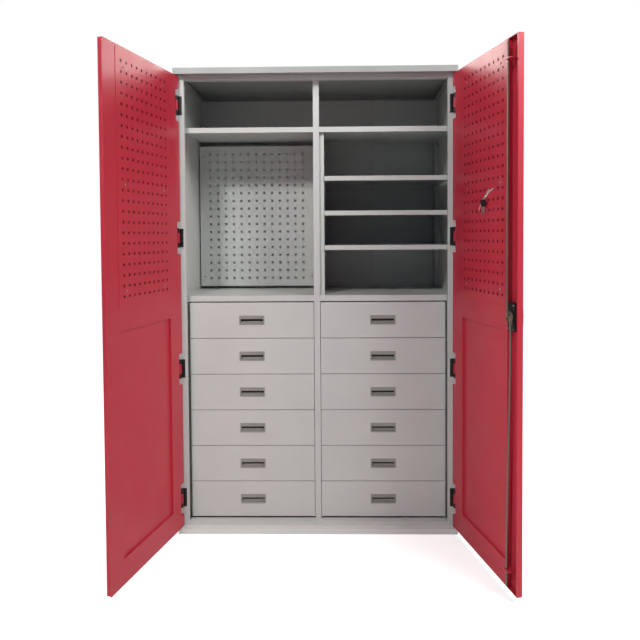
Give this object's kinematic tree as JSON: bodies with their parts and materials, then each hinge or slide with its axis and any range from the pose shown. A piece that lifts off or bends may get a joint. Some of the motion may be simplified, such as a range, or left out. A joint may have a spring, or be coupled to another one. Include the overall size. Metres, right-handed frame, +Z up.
{
  "type": "tool cabinet",
  "caption": "Tall steel tool cabinet with two hinged doors, perforated tool panels, open shelves above and drawers below, and a rod lock",
  "frame": {"origin": "centre of the base's footprint, on the floor plane", "axes": "+X to the right of someone facing the doors, +Y to the back, +Z up"},
  "size_m": [1.4437, 1.1637, 1.975],
  "materials": {
    "grey_paint": "satin light grey powder coat",
    "red_paint": "satin red powder coat",
    "black_paint": "satin black",
    "zinc": "zinc plated",
    "grey_plastic": "moulded, matt",
    "black_plastic": "moulded, matt",
    "white_plastic": "smooth"
  },
  "bodies": {
    "cabinet": {"top_cap": "grey_paint", "left_side_panel": "grey_paint", "right_side_panel": "grey_paint", "back_panel": "grey_paint", "base_tray": "grey_paint", "floor_panel": "grey_paint", "header_rail": "grey_paint", "top_shelf": "grey_paint", "middle_shelf": "grey_paint", "top_post": "grey_paint", "bay_partition": "grey_paint", "drawer_partition": "grey_paint", "shelf_uprights": "grey_paint", "adjustable_shelves": "grey_paint", "shelf_clips": "zinc", "back_tool_panel": "grey_paint", "back_panel_fixings": "zinc", "hinge_brackets": "black_paint", "hinge_pins": "zinc", "drawer_rails": "zinc"},
    "left_door": {"left_door_skin": "red_paint", "left_door_frame": "red_paint", "left_door_tool_panel": "red_paint", "left_door_screws": "zinc"},
    "right_door": {"right_door_skin": "red_paint", "right_door_frame": "red_paint", "right_door_tool_panel": "red_paint", "right_door_screws": "zinc", "lock_housing": "black_plastic", "rod_guides": "red_paint", "keys": "black_plastic", "key_tie": "white_plastic"},
    "lock": {"lock_handle": "black_plastic", "lock_cam": "zinc"},
    "rod_up": {"upper_rod": "zinc"},
    "rod_down": {"lower_rod": "zinc"},
    "left_drawer_1_body": {"left_drawer_1": "grey_paint", "left_drawer_1_pull": "grey_plastic"},
    "left_drawer_2_body": {"left_drawer_2": "grey_paint", "left_drawer_2_pull": "grey_plastic"},
    "left_drawer_3_body": {"left_drawer_3": "grey_paint", "left_drawer_3_pull": "grey_plastic"},
    "left_drawer_4_body": {"left_drawer_4": "grey_paint", "left_drawer_4_pull": "grey_plastic"},
    "left_drawer_5_body": {"left_drawer_5": "grey_paint", "left_drawer_5_pull": "grey_plastic"},
    "left_drawer_6_body": {"left_drawer_6": "grey_paint", "left_drawer_6_pull": "grey_plastic"},
    "right_drawer_1_body": {"right_drawer_1": "grey_paint", "right_drawer_1_pull": "grey_plastic"},
    "right_drawer_2_body": {"right_drawer_2": "grey_paint", "right_drawer_2_pull": "grey_plastic"},
    "right_drawer_3_body": {"right_drawer_3": "grey_paint", "right_drawer_3_pull": "grey_plastic"},
    "right_drawer_4_body": {"right_drawer_4": "grey_paint", "right_drawer_4_pull": "grey_plastic"},
    "right_drawer_5_body": {"right_drawer_5": "grey_paint", "right_drawer_5_pull": "grey_plastic"},
    "right_drawer_6_body": {"right_drawer_6": "grey_paint", "right_drawer_6_pull": "grey_plastic"}
  },
  "joints": [
    {"name": "left_door_hinge", "type": "hinge", "parent": "cabinet", "child": "left_door", "pos_m": [-0.587, -0.276, 0.985], "axis": [0, 0, -1], "range_deg": [-101.4, 8.6]},
    {"name": "right_door_hinge", "type": "hinge", "parent": "cabinet", "child": "right_door", "pos_m": [0.587, -0.276, 0.985], "axis": [0, 0, 1], "range_deg": [-102, 8]},
    {"name": "lock_turn", "type": "hinge", "parent": "right_door", "child": "lock", "pos_m": [0.70078, -0.81129, 0.987], "axis": [0.9781, 0.2079, 0], "range_deg": [0, 90]},
    {"name": "upper_rod_slide", "type": "slide", "parent": "right_door", "child": "rod_up", "axis": [0, 0, 1], "range_m": [0, 0.02]},
    {"name": "lower_rod_slide", "type": "slide", "parent": "right_door", "child": "rod_down", "axis": [0, 0, -1], "range_m": [0, 0.02]},
    {"name": "left_drawer_1_slide", "type": "slide", "parent": "cabinet", "child": "left_drawer_1_body", "axis": [0, -1, 0], "range_m": [0, 0.36]},
    {"name": "left_drawer_2_slide", "type": "slide", "parent": "cabinet", "child": "left_drawer_2_body", "axis": [0, -1, 0], "range_m": [0, 0.36]},
    {"name": "left_drawer_3_slide", "type": "slide", "parent": "cabinet", "child": "left_drawer_3_body", "axis": [0, -1, 0], "range_m": [0, 0.36]},
    {"name": "left_drawer_4_slide", "type": "slide", "parent": "cabinet", "child": "left_drawer_4_body", "axis": [0, -1, 0], "range_m": [0, 0.36]},
    {"name": "left_drawer_5_slide", "type": "slide", "parent": "cabinet", "child": "left_drawer_5_body", "axis": [0, -1, 0], "range_m": [0, 0.36]},
    {"name": "left_drawer_6_slide", "type": "slide", "parent": "cabinet", "child": "left_drawer_6_body", "axis": [0, -1, 0], "range_m": [0, 0.36]},
    {"name": "right_drawer_1_slide", "type": "slide", "parent": "cabinet", "child": "right_drawer_1_body", "axis": [0, -1, 0], "range_m": [0, 0.36]},
    {"name": "right_drawer_2_slide", "type": "slide", "parent": "cabinet", "child": "right_drawer_2_body", "axis": [0, -1, 0], "range_m": [0, 0.36]},
    {"name": "right_drawer_3_slide", "type": "slide", "parent": "cabinet", "child": "right_drawer_3_body", "axis": [0, -1, 0], "range_m": [0, 0.36]},
    {"name": "right_drawer_4_slide", "type": "slide", "parent": "cabinet", "child": "right_drawer_4_body", "axis": [0, -1, 0], "range_m": [0, 0.36]},
    {"name": "right_drawer_5_slide", "type": "slide", "parent": "cabinet", "child": "right_drawer_5_body", "axis": [0, -1, 0], "range_m": [0, 0.36]},
    {"name": "right_drawer_6_slide", "type": "slide", "parent": "cabinet", "child": "right_drawer_6_body", "axis": [0, -1, 0], "range_m": [0, 0.36]}
  ],
  "couplings": [
    {"joint": "upper_rod_slide", "follows": "lock_turn", "m_per_rad": 0.012732},
    {"joint": "lower_rod_slide", "follows": "lock_turn", "m_per_rad": 0.012732}
  ]
}
